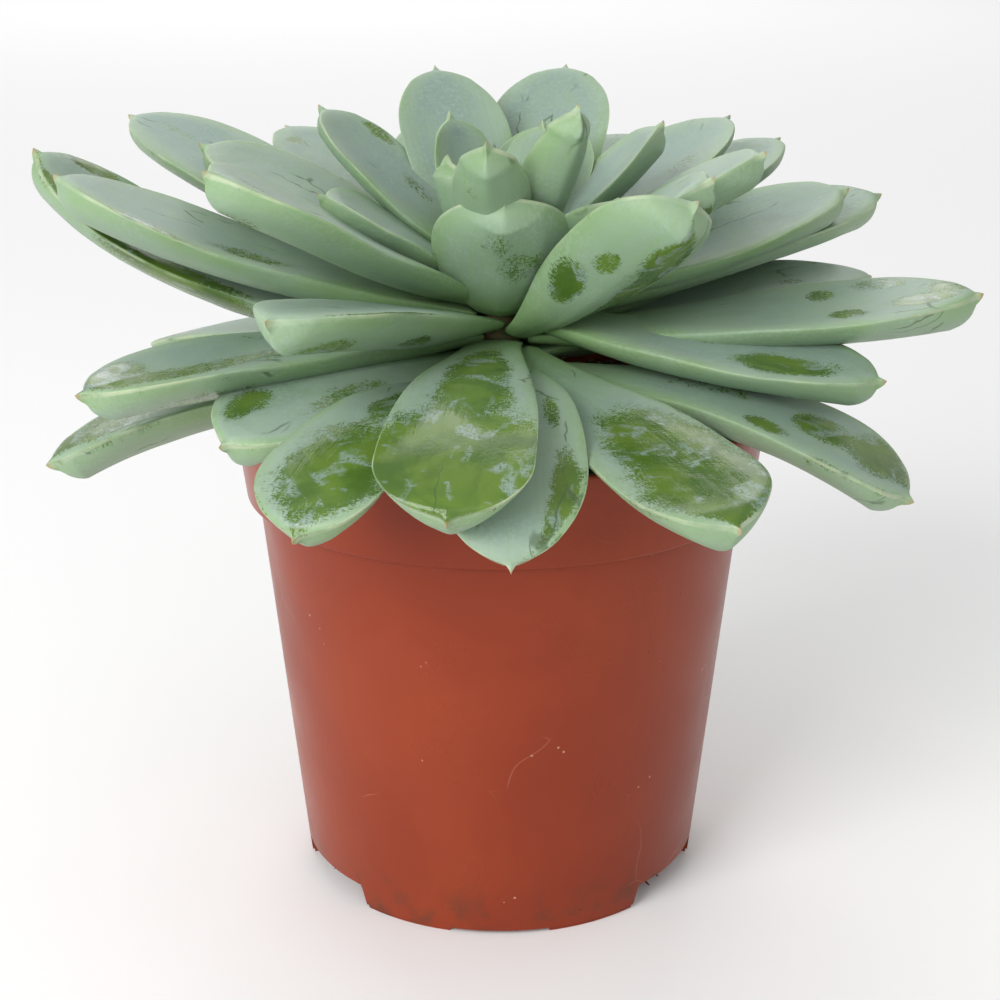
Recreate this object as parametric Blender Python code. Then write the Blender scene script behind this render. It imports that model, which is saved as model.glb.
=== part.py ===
"""A rosette succulent in a moulded nursery pot.

Metres, +Z up. The origin is on the floor under the pot's axis, and -Y is the front. The rosette follows the
plant's growth rule: every leaf stands one golden angle round the stem from the next younger one, and what it
measures follows from its age. Directions round the axis are in degrees from the front, growing towards +X.
"""

import math
from typing import NamedTuple

import bmesh
import bpy
import numpy as np
from mathutils.bvhtree import BVHTree

MM = 0.001

# Pot
POT_HEIGHT = 83.3 * MM
RIM_RADIUS = 45.0 * MM
COLLAR_HEIGHT = 15.0 * MM
COLLAR_FOOT_RADIUS = 43.2 * MM
WALL_TOP_RADIUS = 41.2 * MM
FOOT_RADIUS = 34.4 * MM
WALL = 1.3 * MM
RIM_ROUND = 0.4 * MM
PLATE_UNDERSIDE = 4.8 * MM
PLATE_THICKNESS = 1.6 * MM
FOOT_WALL = 2.2 * MM
NOTCH_HEIGHT = 4.3 * MM
NOTCH_HALF_ANGLE = 18.0
FOOT_COUNT = 3
FOOT_RELIEF_HEIGHT = 0.7 * MM
FOOT_RELIEF_HALF_ANGLE = 14.0
DRAIN_INNER_RADIUS = 22.0 * MM
DRAIN_OUTER_RADIUS = 28.0 * MM
DRAIN_HALF_ANGLE = 12.0
TURN_STEPS = 60

# Soil and stem
GAP = 0.3 * MM
SOIL_EDGE_HEIGHT = 78.0 * MM
SOIL_MOUND_HEIGHT = 82.0 * MM
SOIL_MOUND_RADIUS = 18.0 * MM
STEM_TOP = 110.0 * MM
STEM_FOOT_RADIUS = 4.6 * MM
STEM_TIP_RADIUS = 1.2 * MM

# Rosette, youngest leaf to oldest
LEAF_COUNT = 48
GOLDEN_ANGLE = 137.508
FIRST_DIRECTION = -6.0
FRONT_LEAN = 7.0
BASE_HEIGHTS = (109.0 * MM, 88.5 * MM)
BASE_RADII = (2.4 * MM, 6.5 * MM)
RISES = (76.0, 0.0)
CURLS = (16.0, -22.0)
LENGTHS = (18.0 * MM, 74.0 * MM)
WIDTHS = (12.0 * MM, 22.5 * MM)
THICKNESSES = (3.2 * MM, 6.4 * MM)
WIDEST = (0.60, 0.78)
AGE_FULL_LENGTH = 0.8
AGE_FULL_WIDTH = 0.4

# Leaf blade
BLADE_RINGS = 9
BLADE_SIDES = 10
BASE_WIDTH_SHARE = 0.38
SLENDER_BASE = 2.8
BASE_THICKNESS_SHARE = 0.5
TOP_SHARE = 0.28
CHANNEL = 0.13
CURL_POWER = 2.0
ROLLED_BY = 0.5
TIP_BLUNTNESS = 2.3
TIP_ROUNDING = 0.62
TIP_POINT = 1.5 * MM


class Habit(NamedTuple):
    """How one leaf grew away from the rule.

    It turns, lifts, curls and rolls by degrees, is longer and wider by millimetres, and is widest further out by a
    share of its length.
    """

    turn: float = 0
    lift: float = 0
    curl: float = 0
    roll: float = 0
    longer: float = 0
    wider: float = 0
    outer: float = 0


# By age rank. The heart leaves stand up, and the oldest leaves at the front arch over the rim.
HABITS = {
    0: Habit(longer=-2),
    2: Habit(turn=-45),
    3: Habit(turn=5, lift=-31, longer=-2),
    4: Habit(lift=-6, longer=-8),
    5: Habit(turn=-30, lift=16, longer=-12, wider=-6),
    6: Habit(lift=-10),
    7: Habit(turn=4, lift=-15, longer=5),
    8: Habit(turn=14, lift=8, longer=-1, wider=-8),
    9: Habit(longer=-10),
    10: Habit(lift=-14, roll=-8, longer=-11),
    11: Habit(lift=-11, roll=10, longer=3),
    12: Habit(turn=-6, lift=-1, wider=-1),
    13: Habit(turn=14, lift=15, longer=-13, wider=-9),
    14: Habit(turn=8, lift=-12, longer=3),
    15: Habit(lift=-11, roll=-8, longer=1),
    16: Habit(turn=16, lift=1, roll=20, longer=-10, wider=-5),
    17: Habit(turn=-6),
    18: Habit(roll=-12),
    19: Habit(turn=10, lift=-14, curl=8, roll=10, longer=-2),
    20: Habit(turn=-3, lift=-8),
    21: Habit(lift=30, longer=-34, outer=-0.12),
    22: Habit(turn=-12, lift=-6),
    23: Habit(lift=-9, curl=20, roll=-4, longer=6, wider=1),
    24: Habit(turn=15, lift=-27, curl=7, roll=6, longer=-6),
    25: Habit(longer=-8),
    26: Habit(lift=-2, longer=-9, wider=-2),
    27: Habit(lift=-3, roll=8, longer=-3),
    28: Habit(lift=6, roll=-8, longer=4),
    29: Habit(turn=20, lift=22, curl=6, roll=-28, longer=-25, wider=-3),
    31: Habit(lift=-11, longer=-6),
    32: Habit(turn=8, lift=-8, curl=16, roll=6),
    34: Habit(turn=5, curl=-26, longer=-6, outer=0.13),
    36: Habit(lift=1, curl=48, roll=-10, longer=5),
    37: Habit(turn=-17, lift=-8, curl=9, roll=4, longer=-3, outer=0.06),
    38: Habit(longer=-8),
    39: Habit(turn=-2, lift=-2, roll=-8, longer=-22),
    40: Habit(turn=18, lift=3, longer=-8),
    41: Habit(lift=-12, longer=5),
    42: Habit(turn=-8, lift=11, curl=-46, longer=-10),
    43: Habit(lift=-10),
    44: Habit(lift=-1, curl=-10, longer=-4, wider=-6),
    45: Habit(lift=2, curl=-14, longer=-7),
    46: Habit(longer=-4),
    47: Habit(turn=-1, lift=15, curl=-24, longer=-9, wider=-2, outer=0.05),
}
PLAIN_HABIT = Habit()


def between(pair, share):
    return pair[0] + (pair[1] - pair[0]) * share


def quarter_wave(share):
    """Rises from 0 to 1 and levels off there."""
    return math.sin(min(1.0, share) * math.pi / 2)


def clear_scene():
    for obj in list(bpy.data.objects):
        bpy.data.objects.remove(obj)


def make_material(name, colour, roughness):
    material = bpy.data.materials.new(name)
    material.use_nodes = True
    shader = material.node_tree.nodes["Principled BSDF"]
    shader.inputs["Base Color"].default_value = (*colour, 1.0)
    shader.inputs["Roughness"].default_value = roughness
    shader.inputs["Metallic"].default_value = 0.0
    return material


def add_object(name, mesh, material):
    obj = bpy.data.objects.new(name, mesh)
    bpy.context.scene.collection.objects.link(obj)
    mesh.materials.append(material)
    return obj


def turned(name, profile, material, steps=TURN_STEPS):
    """A turned solid. The profile (radius, height) runs up the inside or axis and down the outside."""
    mesh = bpy.data.meshes.new(name)
    edges = [(i, i + 1) for i in range(len(profile) - 1)]
    mesh.from_pydata([(radius, 0.0, height) for radius, height in profile], edges, [])
    obj = add_object(name, mesh, material)
    screw = obj.modifiers.new("turn", "SCREW")
    screw.axis = "Z"
    screw.angle = math.tau
    screw.steps = steps
    screw.render_steps = steps
    screw.use_merge_vertices = True
    screw.merge_threshold = 0.00005
    screw.use_smooth_shade = True
    return obj


def wedge(name, direction, half_angle, radii, heights):
    """A cutter: a sector of a ring, centred on a direction."""
    bm = bmesh.new()
    rings = []
    for height in heights:
        ring = []
        for radius, side in ((radii[0], -1), (radii[1], -1), (radii[1], 0), (radii[1], 1), (radii[0], 1)):
            angle = math.radians(direction + side * half_angle)
            reach = radius / math.cos(math.radians(half_angle)) if side == 0 else radius
            ring.append(bm.verts.new((reach * math.sin(angle), -reach * math.cos(angle), height)))
        rings.append(ring)
    bm.faces.new(rings[0])
    bm.faces.new(rings[1])
    count = len(rings[0])
    for i in range(count):
        j = (i + 1) % count
        bm.faces.new((rings[0][i], rings[0][j], rings[1][j], rings[1][i]))
    bmesh.ops.recalc_face_normals(bm, faces=bm.faces)
    mesh = bpy.data.meshes.new(name)
    bm.to_mesh(mesh)
    bm.free()
    obj = bpy.data.objects.new(name, mesh)
    bpy.context.scene.collection.objects.link(obj)
    obj.hide_render = True
    obj.display_type = "WIRE"
    return obj


def cut(obj, cutter):
    boolean = obj.modifiers.new("cut_" + cutter.name, "BOOLEAN")
    boolean.operation = "DIFFERENCE"
    boolean.solver = "EXACT"
    boolean.object = cutter


def inner_radius(height):
    """The pot's inner radius at a height below the collar."""
    share = height / (POT_HEIGHT - COLLAR_HEIGHT)
    return between((FOOT_RADIUS, WALL_TOP_RADIUS), share) - WALL


def make_pot():
    step = POT_HEIGHT - COLLAR_HEIGHT
    plate_top = PLATE_UNDERSIDE + PLATE_THICKNESS
    profile = [
        (0.0, plate_top),
        (inner_radius(plate_top), plate_top),
        (WALL_TOP_RADIUS - WALL, step),
        (COLLAR_FOOT_RADIUS - WALL, step + WALL),
        (RIM_RADIUS - WALL, POT_HEIGHT - RIM_ROUND),
        (RIM_RADIUS - WALL + RIM_ROUND, POT_HEIGHT),
        (RIM_RADIUS - RIM_ROUND, POT_HEIGHT),
        (RIM_RADIUS, POT_HEIGHT - RIM_ROUND),
        (COLLAR_FOOT_RADIUS, step),
        (WALL_TOP_RADIUS, step),
        (FOOT_RADIUS, 0.0),
        (FOOT_RADIUS - FOOT_WALL, 0.0),
        (FOOT_RADIUS - FOOT_WALL, PLATE_UNDERSIDE),
        (0.0, PLATE_UNDERSIDE),
    ]
    pot = turned("pot", profile, make_material("pot_plastic", (0.31, 0.06, 0.025), 0.38))
    below = -MM
    for i in range(FOOT_COUNT):
        foot = i * 360 / FOOT_COUNT
        notch = foot + 180 / FOOT_COUNT
        past_foot = (FOOT_RADIUS - 2 * FOOT_WALL, FOOT_RADIUS + 2 * FOOT_WALL)
        cut(pot, wedge(f"notch_{i}", notch, NOTCH_HALF_ANGLE, past_foot, (below, NOTCH_HEIGHT)))
        cut(pot, wedge(f"relief_{i}", foot, FOOT_RELIEF_HALF_ANGLE, past_foot, (below, FOOT_RELIEF_HEIGHT)))
        drain = (DRAIN_INNER_RADIUS, DRAIN_OUTER_RADIUS)
        through = (PLATE_UNDERSIDE - MM, plate_top + MM)
        cut(pot, wedge(f"drain_{i}", notch, DRAIN_HALF_ANGLE, drain, through))
    return pot


def make_soil():
    floor = PLATE_UNDERSIDE + PLATE_THICKNESS + GAP
    step = POT_HEIGHT - COLLAR_HEIGHT
    collar_share = (SOIL_EDGE_HEIGHT - step) / COLLAR_HEIGHT
    edge = between((COLLAR_FOOT_RADIUS, RIM_RADIUS), collar_share) - WALL - GAP
    profile = [
        (0.0, SOIL_MOUND_HEIGHT),
        (SOIL_MOUND_RADIUS, SOIL_MOUND_HEIGHT - 0.5 * MM),
        ((SOIL_MOUND_RADIUS + edge) / 2, between((SOIL_EDGE_HEIGHT, SOIL_MOUND_HEIGHT), 0.35)),
        (edge, SOIL_EDGE_HEIGHT),
        (COLLAR_FOOT_RADIUS - WALL - 2 * GAP, step + WALL + GAP),
        (WALL_TOP_RADIUS - WALL - 2 * GAP, step - GAP),
        (inner_radius(floor) - GAP, floor),
        (0.0, floor),
    ]
    return turned("soil", profile, make_material("peat", (0.035, 0.02, 0.013), 0.95), 40)


def make_stem():
    foot = SOIL_MOUND_HEIGHT + GAP
    profile = [
        (0.0, STEM_TOP),
        (STEM_TIP_RADIUS, STEM_TOP),
        (STEM_FOOT_RADIUS, foot + 6 * MM),
        (STEM_FOOT_RADIUS, foot),
        (0.0, foot),
    ]
    return turned("stem", profile, make_material("stem_bark", (0.16, 0.15, 0.07), 0.75), 16)


def leaf_sizes(rank):
    """What a leaf measures, from its age rank and its habit."""
    age = rank / (LEAF_COUNT - 1)
    habit = HABITS.get(rank, PLAIN_HABIT)
    direction = FIRST_DIRECTION + GOLDEN_ANGLE * rank + habit.turn
    spread = math.sqrt(age)
    grown = quarter_wave(age / AGE_FULL_LENGTH)
    facing = math.cos(math.radians(direction))
    return {
        "direction": direction,
        "rise": between(RISES, spread) - FRONT_LEAN * facing * spread + habit.lift,
        "curl": between(CURLS, age) + habit.curl,
        "roll": habit.roll,
        "widest": between(WIDEST, age) + habit.outer,
        "length": between(LENGTHS, grown) + habit.longer * MM,
        "width": between(WIDTHS, quarter_wave(age / AGE_FULL_WIDTH)) + habit.wider * MM,
        "thickness": between(THICKNESSES, grown),
        "base_height": between(BASE_HEIGHTS, age),
        "base_radius": between(BASE_RADII, age),
    }


def blade_halves(along, widest):
    """Half the width, as a share of the greatest: narrow at the base, widest past the middle, then blunt.

    A blade that is widest further out also swells later, so its inner half is slender.
    """
    swell = np.sin(np.clip(along / widest, 0, 1) * np.pi / 2)
    swell = BASE_WIDTH_SHARE + (1 - BASE_WIDTH_SHARE) * swell ** (1 + SLENDER_BASE * (widest - WIDEST[0]))
    closing = np.clip((along - widest) / (1 - widest), 0, 1)
    return swell * (1 - closing**TIP_BLUNTNESS) ** TIP_ROUNDING


def leaf_mesh(name, sizes, swell=0.0):
    """A blade round a curling midline, about which it rolls; swell grows it on every side, for a cutter."""
    along = np.sin(np.linspace(0, np.pi / 2, BLADE_RINGS + 1))[:-1]
    fine = np.linspace(0, 1, 121)
    rise = np.radians(sizes["rise"] + sizes["curl"] * fine**CURL_POWER)
    turn = math.radians(sizes["direction"])
    step = sizes["length"] / (len(fine) - 1)
    out = sizes["base_radius"] + np.concatenate([[0], np.cumsum(np.cos(rise[:-1]))]) * step
    up = sizes["base_height"] + np.concatenate([[0], np.cumsum(np.sin(rise[:-1]))]) * step
    outward = np.array([math.sin(turn), -math.cos(turn), 0.0])
    side = np.array([math.cos(turn), math.sin(turn), 0.0])
    top = np.array([0.0, 0.0, 1.0])

    def at(values):
        return np.interp(along, fine, values)

    middle = at(out)[:, None] * outward + at(up)[:, None] * top
    tilt = at(rise)[:, None]
    square = np.cos(tilt) * top - np.sin(tilt) * outward
    rolled = np.clip(along / ROLLED_BY, 0, 1)[:, None]
    roll = math.radians(sizes["roll"]) * rolled * rolled * (3 - 2 * rolled)
    normal = np.cos(roll) * square - np.sin(roll) * side
    sideways = np.cos(roll) * side + np.sin(roll) * square
    halves = blade_halves(along, sizes["widest"])
    half_width = sizes["width"] / 2 * halves + swell
    thick = between((BASE_THICKNESS_SHARE, 1.0), np.sin(np.clip(along / 0.5, 0, 1) * np.pi / 2))
    thick = sizes["thickness"] * thick * np.sqrt(np.clip(halves / 0.6, 0, 1)) + 2 * swell
    round_angle = np.linspace(0, math.tau, BLADE_SIDES, endpoint=False)
    across, height = np.cos(round_angle), np.sin(round_angle)
    height = height * np.where(height > 0, TOP_SHARE, 1 - TOP_SHARE)
    channel = CHANNEL * np.sin(along * np.pi / 2)[:, None] * half_width[:, None] * across**2
    lift = thick[:, None] * height + channel
    points = (
        middle[:, None, :]
        + (half_width[:, None] * across)[..., None] * sideways[:, None, :]
        + lift[..., None] * normal[:, None, :]
    )
    tip_rise = rise[-1]
    tip_way = math.cos(tip_rise) * outward + math.sin(tip_rise) * top
    tip = out[-1] * outward + up[-1] * top + (TIP_POINT + swell) * tip_way
    base = points[0].mean(axis=0) - swell * outward
    bm = bmesh.new()
    rings = [[bm.verts.new(point) for point in ring] for ring in points]
    ends = (bm.verts.new(base), bm.verts.new(tip))
    for i in range(BLADE_SIDES):
        j = (i + 1) % BLADE_SIDES
        bm.faces.new((ends[0], rings[0][i], rings[0][j]))
        bm.faces.new((ends[1], rings[-1][j], rings[-1][i]))
        for low, high in zip(rings, rings[1:]):
            bm.faces.new((low[i], high[i], high[j], low[j]))
    bmesh.ops.recalc_face_normals(bm, faces=bm.faces)
    bmesh.ops.triangulate(bm, faces=bm.faces)
    mesh = bpy.data.meshes.new(name)
    bm.to_mesh(mesh)
    bm.free()
    return mesh


def tree_of(mesh):
    points = [vertex.co.copy() for vertex in mesh.vertices]
    return BVHTree.FromPolygons(points, [tuple(face.vertices) for face in mesh.polygons])


def keep_largest_island(mesh):
    """Drops the crumbs that a cut leaves beside the blade."""
    bm = bmesh.new()
    bm.from_mesh(mesh)
    left = set(bm.verts)
    islands = []
    while left:
        island, front = set(), [left.pop()]
        while front:
            vertex = front.pop()
            island.add(vertex)
            for edge in vertex.link_edges:
                other = edge.other_vert(vertex)
                if other in left:
                    left.discard(other)
                    front.append(other)
        islands.append(island)
    islands.sort(key=len)
    crumbs = [vertex for island in islands[:-1] for vertex in island]
    bmesh.ops.delete(bm, geom=crumbs, context="VERTS")
    bm.to_mesh(mesh)
    bm.free()


def make_leaves():
    """Every leaf gives way by one gap to the younger leaves that it presses on, to the stem and to the rim."""
    material = make_material("leaf_skin", (0.27, 0.40, 0.28), 0.5)
    sizes = [leaf_sizes(rank) for rank in range(LEAF_COUNT)]
    stem_cutter = turned("stem_room", [
        (0.0, STEM_TOP + GAP), (STEM_TIP_RADIUS + GAP, STEM_TOP + GAP),
        (STEM_FOOT_RADIUS + GAP, SOIL_MOUND_HEIGHT + 6 * MM), (STEM_FOOT_RADIUS + GAP, SOIL_MOUND_HEIGHT),
        (0.0, SOIL_MOUND_HEIGHT),
    ], material, 16)  # fmt: skip
    mouth_cutter = turned("mouth_room", [
        (0.0, POT_HEIGHT + GAP), (RIM_RADIUS + GAP, POT_HEIGHT + GAP),
        (COLLAR_FOOT_RADIUS + GAP, POT_HEIGHT - COLLAR_HEIGHT), (0.0, POT_HEIGHT - COLLAR_HEIGHT),
    ], material)  # fmt: skip
    for cutter in (stem_cutter, mouth_cutter):
        cutter.hide_render = True
        cutter.display_type = "WIRE"
    cutters = []
    leaves = []
    for rank, leaf in enumerate(sizes):
        blade = leaf_mesh(f"leaf_{rank:02d}", leaf)
        tree = tree_of(blade)
        obj = add_object(f"leaf_{rank:02d}", blade, material)
        cut(obj, stem_cutter)
        cut(obj, mouth_cutter)
        for younger, younger_tree in cutters:
            if tree.overlap(younger_tree):
                cut(obj, younger)
        leaves.append(obj)
        room = leaf_mesh(f"room_{rank:02d}", leaf, GAP)
        cutter = add_object(f"room_{rank:02d}", room, material)
        cutter.hide_render = True
        cutter.display_type = "WIRE"
        cutters.append((cutter, tree_of(room)))
    graph = bpy.context.evaluated_depsgraph_get()
    for obj in leaves:
        carved = bpy.data.meshes.new_from_object(obj.evaluated_get(graph))
        keep_largest_island(carved)
        carved.shade_smooth()
        carved.set_sharp_from_angle(angle=math.radians(50))
        obj.modifiers.clear()
        obj.data = carved
    return leaves


def main():
    clear_scene()
    make_pot()
    make_soil()
    make_stem()
    make_leaves()


main()
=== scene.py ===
"""Looks for a rosette succulent in a nursery pot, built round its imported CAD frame.

The CAD model fixes where everything stands. This file makes the fine surfaces and their finishes: fleshy
leaves with a waxy bloom, a moulded pot, fibrous peat with crumbs, and the small roots at the drain notches.
The leaves follow the same growth rule as the CAD leaves, in metres, with directions in degrees from the
front.
"""

import logging
import math
from dataclasses import dataclass, field
from enum import Enum

import bpy
import numpy as np
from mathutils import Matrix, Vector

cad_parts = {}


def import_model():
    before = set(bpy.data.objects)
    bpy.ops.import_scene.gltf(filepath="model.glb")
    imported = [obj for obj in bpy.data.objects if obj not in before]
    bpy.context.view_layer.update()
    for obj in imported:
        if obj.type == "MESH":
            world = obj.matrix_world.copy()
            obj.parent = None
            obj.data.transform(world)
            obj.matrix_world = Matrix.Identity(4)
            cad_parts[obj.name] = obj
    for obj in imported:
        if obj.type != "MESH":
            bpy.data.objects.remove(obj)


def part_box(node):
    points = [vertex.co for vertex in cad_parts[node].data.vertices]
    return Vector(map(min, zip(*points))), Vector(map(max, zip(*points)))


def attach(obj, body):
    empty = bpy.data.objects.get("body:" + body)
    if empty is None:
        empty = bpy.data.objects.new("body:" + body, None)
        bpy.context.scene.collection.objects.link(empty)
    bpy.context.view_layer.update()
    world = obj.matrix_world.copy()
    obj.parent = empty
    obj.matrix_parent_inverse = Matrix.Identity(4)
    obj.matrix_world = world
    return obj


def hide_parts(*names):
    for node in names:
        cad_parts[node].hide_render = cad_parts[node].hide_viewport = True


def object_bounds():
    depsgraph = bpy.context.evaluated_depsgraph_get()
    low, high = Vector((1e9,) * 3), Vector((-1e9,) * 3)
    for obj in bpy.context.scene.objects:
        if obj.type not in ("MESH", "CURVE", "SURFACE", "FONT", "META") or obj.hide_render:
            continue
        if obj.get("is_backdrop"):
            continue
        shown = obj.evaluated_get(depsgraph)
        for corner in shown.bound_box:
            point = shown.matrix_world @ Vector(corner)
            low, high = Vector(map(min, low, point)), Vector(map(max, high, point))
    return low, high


LOG = logging.getLogger("succulent")
MM = 0.001
ROOT = "root"
Array = np.ndarray
Colour = tuple[float, float, float]
Socket = bpy.types.NodeSocket


class Slot(Enum):
    """The record's material slots."""

    LEAF = "leaf"
    STEM = "stem"
    SOIL = "soil"
    POT = "pot"


# --------------------------------------------------------------------------------------------------------
# Surfaces
# --------------------------------------------------------------------------------------------------------


def smooth_step(low: float, high: float, value: Array) -> Array:
    """An S-shaped ramp: 0 below low, 1 above high, level at both ends.

    Args:
        low: Where the ramp starts.
        high: Where the ramp ends.
        value: Where it is read.

    Returns:
        The ramp's values, 3 s^2 - 2 s^3 of the share s of the way from low to high.
    """
    share = np.clip((value - low) / (high - low), 0.0, 1.0)
    return share * share * (3.0 - 2.0 * share)


def lattice_noise(points: Array, cell: float, seed: int) -> Array:
    """Smooth noise from -1 to 1: a hashed value at each lattice corner, blended inside each cell.

    Args:
        points: Positions, with three numbers along the last axis.
        cell: The lattice's spacing, in the points' unit.
        seed: Picks the pattern.

    Returns:
        One value for each point.
    """
    scaled = points / cell
    corner = np.floor(scaled).astype(np.int64)
    part = scaled - corner
    part = part * part * (3.0 - 2.0 * part)
    total = np.zeros(points.shape[:-1])
    for dx in (0, 1):
        for dy in (0, 1):
            for dz in (0, 1):
                i, j, k = corner[..., 0] + dx, corner[..., 1] + dy, corner[..., 2] + dz
                mixed = (i * 73856093) ^ (j * 19349663) ^ (k * 83492791) ^ (seed * 2654435761)
                mixed = (mixed ^ (mixed >> 13)) * 1274126177
                value = ((mixed ^ (mixed >> 16)) & 0xFFFF) / 32767.5 - 1.0
                weight = np.where(dx, part[..., 0], 1 - part[..., 0])
                weight = weight * np.where(dy, part[..., 1], 1 - part[..., 1])
                weight = weight * np.where(dz, part[..., 2], 1 - part[..., 2])
                total += weight * value
    return total


def layered_noise(points: Array, cell: float, seed: int, layers: int = 3) -> Array:
    """Lattice noise at several scales, each half as wide and half as strong as the one before.

    Args:
        points: Positions, with three numbers along the last axis.
        cell: The widest layer's spacing.
        seed: Picks the pattern.
        layers: How many scales.

    Returns:
        One value for each point, roughly from -1 to 1.
    """
    total = np.zeros(points.shape[:-1])
    for layer in range(layers):
        total += 0.5**layer * lattice_noise(points, cell / 2**layer, seed + layer)
    return total / (2.0 - 0.5 ** (layers - 1))


def grid_faces(rows: int, columns: int) -> Array:
    """Quads over a grid of rows that each close on themselves.

    Args:
        rows: How many rows of vertices.
        columns: How many vertices in each row.

    Returns:
        Four vertex numbers for each quad.
    """
    row, column = np.meshgrid(np.arange(rows - 1), np.arange(columns), indexing="ij")
    beside = (column + 1) % columns
    low, high = row * columns, (row + 1) * columns
    quads = np.stack([low + column, low + beside, high + beside, high + column], axis=-1)
    return quads.reshape(-1, 4)


def make_piece(
    name: str, points: Array, faces: list, slot: Slot, material: bpy.types.Material
) -> bpy.types.Object:
    """Puts a surface into a mesh object at the origin, smooth, outward and dressed.

    Args:
        name: The piece's name.
        points: Vertex positions in metres.
        faces: Vertex numbers for each face.
        slot: Not used.
        material: What it is dressed in.

    Returns:
        The new object.
    """
    mesh = bpy.data.meshes.new(name)
    mesh.from_pydata(points.reshape(-1, 3), [], faces)
    mesh.validate()
    mesh.shade_smooth()
    mesh.materials.append(material)
    obj = bpy.data.objects.new(name, mesh)
    bpy.context.scene.collection.objects.link(obj)
    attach(obj, ROOT)
    LOG.info("%s: %d vertices, %d faces", name, len(mesh.vertices), len(mesh.polygons))
    return obj


def add_values(obj: bpy.types.Object, name: str, values: Array) -> None:
    """Stores one number for each vertex under a name that a material can read."""
    layer = obj.data.attributes.new(name, "FLOAT", "POINT")
    layer.data.foreach_set("value", np.ascontiguousarray(values, np.float32).ravel())


def add_vectors(obj: bpy.types.Object, name: str, vectors: Array) -> None:
    """Stores one vector for each vertex under a name that a material can read."""
    layer = obj.data.attributes.new(name, "FLOAT_VECTOR", "POINT")
    layer.data.foreach_set("vector", np.ascontiguousarray(vectors, np.float32).ravel())


def capped(rows: int, columns: int) -> list:
    """Faces of a closed tube: a grid whose two ends are fans to the two vertices after it.

    Args:
        rows: How many rings.
        columns: How many vertices in each ring.

    Returns:
        Quads and triangles, as lists of vertex numbers.
    """
    start, end = rows * columns, rows * columns + 1
    column = np.arange(columns)
    beside = (column + 1) % columns
    last = (rows - 1) * columns
    opening = np.stack([np.full(columns, start), beside, column], axis=-1)
    closing = np.stack([np.full(columns, end), last + column, last + beside], axis=-1)
    return grid_faces(rows, columns).tolist() + opening.tolist() + closing.tolist()


def tube(path: Array, radii: Array, sides: int) -> Array:
    """Points of a closed tube along a path; capped gives its faces.

    Each ring stands square to the path, turned from one fixed sideways direction, which suits short, nearly
    straight pieces.

    Args:
        path: Points along the middle.
        radii: The tube's radius at each point.
        sides: How many vertices round it.

    Returns:
        The rings' points, and then the two end points.
    """
    way = np.gradient(path, axis=0)
    way = way / (np.linalg.norm(way, axis=1, keepdims=True) + 1e-12)
    guide = np.array([0.0, 0.0, 1.0]) if abs(way[:, 2]).mean() < 0.7 else np.array([1.0, 0.0, 0.0])
    first = np.cross(guide, way)
    first = first / (np.linalg.norm(first, axis=1, keepdims=True) + 1e-12)
    second = np.cross(way, first)
    angle = np.linspace(0, math.tau, sides, endpoint=False)
    ring = np.cos(angle)[:, None] * first[:, None] + np.sin(angle)[:, None] * second[:, None]
    points = path[:, None] + radii[:, None, None] * ring
    return np.concatenate([points.reshape(-1, 3), path[:1], path[-1:]])


def around(radius: Array, turn: Array, height: Array) -> Array:
    """Points about the pot's axis.

    Args:
        radius: Metres from the axis.
        turn: Radians from the front towards +X.
        height: Metres above the floor.

    Returns:
        Positions, with the three arrays spread over each other's shapes.
    """
    return np.stack(np.broadcast_arrays(radius * np.sin(turn), -radius * np.cos(turn), height), -1)


def joined(parts: list[Array], faces: list) -> tuple[Array, list]:
    """Many small closed shapes that share one layout of faces, as one set of points and faces.

    Args:
        parts: Each shape's points.
        faces: The quads and triangles of any one of them.

    Returns:
        All points, and all faces.
    """
    starts = len(parts[0]) * np.arange(len(parts))[:, None, None]
    every = []
    for corners in (4, 3):
        group = np.array([face for face in faces if len(face) == corners])
        every += (starts + group).reshape(-1, corners).tolist()
    return np.concatenate(parts), every


# --------------------------------------------------------------------------------------------------------
# Finishes
# --------------------------------------------------------------------------------------------------------


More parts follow.
